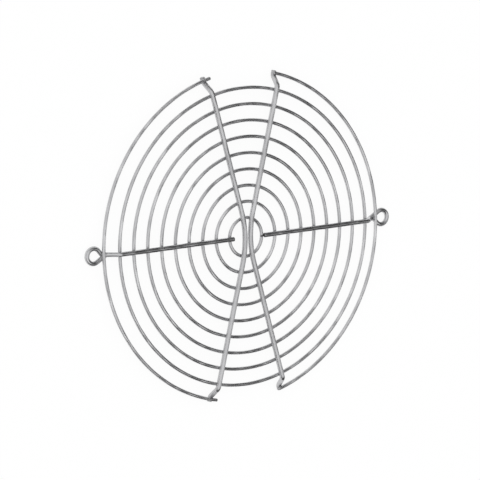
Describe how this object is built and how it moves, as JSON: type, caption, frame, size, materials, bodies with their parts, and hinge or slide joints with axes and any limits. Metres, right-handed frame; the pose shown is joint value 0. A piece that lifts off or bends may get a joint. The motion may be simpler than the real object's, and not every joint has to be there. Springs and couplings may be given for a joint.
{
  "type": "wire fan guard",
  "caption": "Round wire fan guard: concentric plated rings welded to crossing bow wires and to spokes that end in screw eyes.",
  "frame": {"origin": "on the guard's axis, in the plane that its four bow feet lie on", "axes": "+Z out of the guard's face, away from the fan; +X through the two screw eyes; +Y along the bow wires"},
  "size_m": [0.171, 0.1508, 0.0073],
  "materials": {
    "ring_wire": "bright nickel-chrome plating over drawn steel wire",
    "bow_wire": "bright nickel-chrome plating over drawn steel wire",
    "spoke_wire": "bright nickel-chrome plating over drawn steel wire"
  },
  "bodies": {
    "root": {"ring_1": "ring_wire", "ring_2": "ring_wire", "ring_3": "ring_wire", "ring_4": "ring_wire", "ring_5": "ring_wire", "ring_6": "ring_wire", "ring_7": "ring_wire", "ring_8": "ring_wire", "ring_9": "ring_wire", "outer_arc_left": "ring_wire", "outer_arc_right": "ring_wire", "bow_wire_left": "bow_wire", "bow_wire_right": "bow_wire", "eye_spoke_left": "spoke_wire", "eye_spoke_right": "spoke_wire"}
  },
  "joints": []
}
